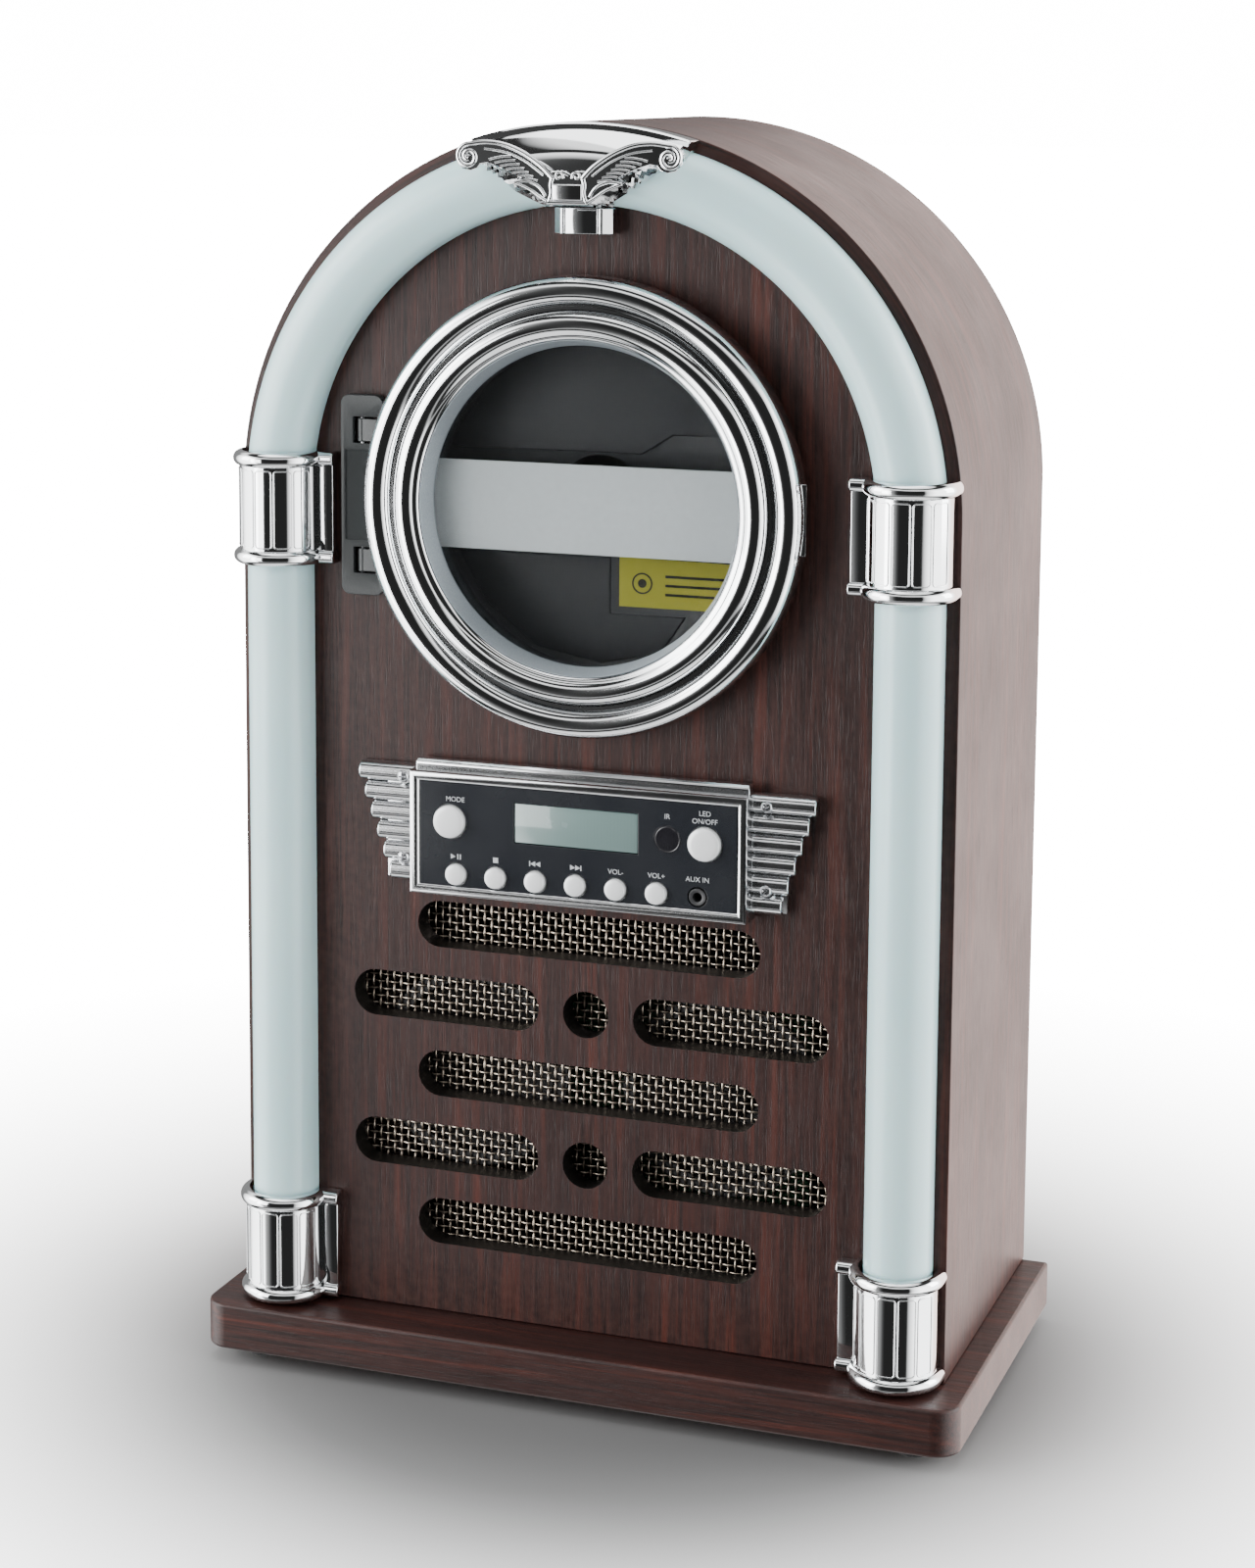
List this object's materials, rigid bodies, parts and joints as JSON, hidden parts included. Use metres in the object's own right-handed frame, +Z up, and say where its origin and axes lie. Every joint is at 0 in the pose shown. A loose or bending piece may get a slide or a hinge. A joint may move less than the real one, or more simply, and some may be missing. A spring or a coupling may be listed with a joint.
{
  "type": "tabletop jukebox",
  "caption": "Round-topped wooden tabletop jukebox with lit tubes, chrome collars, a hinged round disc door, a control panel and slotted speaker front.",
  "frame": {"origin": "on the supporting surface, under the middle of the plinth", "axes": "+Z up, the front faces -Y, +X to the viewer's right when facing the front"},
  "size_m": [0.3, 0.16, 0.4815],
  "materials": {
    "walnut_vinyl": "satin dark walnut foil on fibreboard",
    "chrome": "bright chrome plating on moulded plastic",
    "milky_tube": "satin milky light diffuser",
    "black_plastic": "fine moulded texture",
    "grey_plastic": "fine moulded texture",
    "rim_plastic": "satin silver paint",
    "clear_window": "clear polished acrylic",
    "white_card": "plain white packing paper",
    "yellow_label": "printed paper",
    "gloss_black": "gloss printed acrylic",
    "screen_glass": "liquid crystal cell",
    "button_plastic": "satin silver-white caps",
    "mesh_wire": "plain woven champagne wire",
    "board": "solder-masked board",
    "speaker_steel": "black lacquered pressed steel",
    "paper_cone": "black paper pulp",
    "rubber": "soft black rubber",
    "steel": "bright turned steel"
  },
  "bodies": {
    "cabinet": {"cabinet_shell": "walnut_vinyl", "front_panel": "walnut_vinyl", "plinth": "walnut_vinyl", "back_panel": "black_plastic", "foot_front_left": "rubber", "foot_front_right": "rubber", "foot_back_left": "rubber", "foot_back_right": "rubber", "grille_mesh": "mesh_wire", "dc_inlet": "black_plastic", "main_board": "board", "speaker_basket_left": "speaker_steel", "speaker_basket_right": "speaker_steel", "tube_arch": "milky_tube", "tube_left": "milky_tube", "tube_right": "milky_tube", "led_strip_arch": "board", "led_strip_left": "board", "led_strip_right": "board", "collar_upper_left": "chrome", "collar_upper_right": "chrome", "collar_lower_left": "chrome", "collar_lower_right": "chrome", "top_clasp": "chrome", "wing_ornament": "chrome", "clasp_buckle": "chrome", "hinge_plate": "grey_plastic", "hinge_pin": "steel", "bay_tray": "black_plastic", "transport_strip": "white_card", "yellow_label": "yellow_label", "spindle_motor": "steel", "guide_rod": "steel", "sled_motor": "steel", "deck_chassis": "black_plastic", "panel_frame": "chrome", "panel_face": "gloss_black", "lcd_module": "screen_glass", "aux_jack": "black_plastic", "control_board": "board", "panel_screw_upper_left": "steel", "panel_screw_lower_left": "steel", "panel_screw_upper_right": "steel", "panel_screw_lower_right": "steel"},
    "door": {"door_ring": "chrome", "door_rim": "rim_plastic", "door_window": "clear_window"},
    "turntable": {"turntable_hub": "black_plastic"},
    "sled": {"laser_sled": "black_plastic"},
    "pinion": {"sled_gear": "button_plastic"},
    "cone_left": {"speaker_cone_left": "paper_cone"},
    "cone_right": {"speaker_cone_right": "paper_cone"},
    "power_button": {"power_button": "button_plastic"},
    "lamp_button": {"lamp_button": "button_plastic"},
    "play_button": {"play_button": "button_plastic"},
    "stop_button": {"stop_button": "button_plastic"},
    "previous_button": {"previous_button": "button_plastic"},
    "next_button": {"next_button": "button_plastic"},
    "volume_down_button": {"volume_down_button": "button_plastic"},
    "volume_up_button": {"volume_up_button": "button_plastic"}
  },
  "joints": [
    {"name": "door_hinge", "type": "hinge", "parent": "cabinet", "child": "door", "pos_m": [-0.089, -0.0583, 0.3415], "axis": [0, 0, -1], "range_deg": [0, 95]},
    {"name": "turntable_spin", "type": "hinge", "parent": "cabinet", "child": "turntable", "pos_m": [0, -0.047, 0.3415], "axis": [0, 1, 0], "continuous": true},
    {"name": "sled_slide", "type": "slide", "parent": "cabinet", "child": "sled", "axis": [1, 0, 0], "range_m": [0, 0.034]},
    {"name": "pinion_spin", "type": "hinge", "parent": "cabinet", "child": "pinion", "pos_m": [0.045, -0.0325, 0.3232], "axis": [0, 1, 0], "range_deg": [-420, 420]},
    {"name": "cone_left_travel", "type": "slide", "parent": "cabinet", "child": "cone_left", "axis": [0, 1, 0], "range_m": [-0.0015, 0.0015], "stiffness_N_per_m": 900},
    {"name": "cone_right_travel", "type": "slide", "parent": "cabinet", "child": "cone_right", "axis": [0, 1, 0], "range_m": [-0.0015, 0.0015], "stiffness_N_per_m": 900},
    {"name": "power_press", "type": "slide", "parent": "cabinet", "child": "power_button", "axis": [0, 1, 0], "range_m": [0, 0.0009], "stiffness_N_per_m": 600},
    {"name": "lamp_press", "type": "slide", "parent": "cabinet", "child": "lamp_button", "axis": [0, 1, 0], "range_m": [0, 0.0009], "stiffness_N_per_m": 600},
    {"name": "play_press", "type": "slide", "parent": "cabinet", "child": "play_button", "axis": [0, 1, 0], "range_m": [0, 0.0009], "stiffness_N_per_m": 600},
    {"name": "stop_press", "type": "slide", "parent": "cabinet", "child": "stop_button", "axis": [0, 1, 0], "range_m": [0, 0.0009], "stiffness_N_per_m": 600},
    {"name": "previous_press", "type": "slide", "parent": "cabinet", "child": "previous_button", "axis": [0, 1, 0], "range_m": [0, 0.0009], "stiffness_N_per_m": 600},
    {"name": "next_press", "type": "slide", "parent": "cabinet", "child": "next_button", "axis": [0, 1, 0], "range_m": [0, 0.0009], "stiffness_N_per_m": 600},
    {"name": "volume_down_press", "type": "slide", "parent": "cabinet", "child": "volume_down_button", "axis": [0, 1, 0], "range_m": [0, 0.0009], "stiffness_N_per_m": 600},
    {"name": "volume_up_press", "type": "slide", "parent": "cabinet", "child": "volume_up_button", "axis": [0, 1, 0], "range_m": [0, 0.0009], "stiffness_N_per_m": 600}
  ],
  "couplings": [
    {"joint": "pinion_spin", "follows": "sled_slide", "rad_per_m": 208.33}
  ]
}
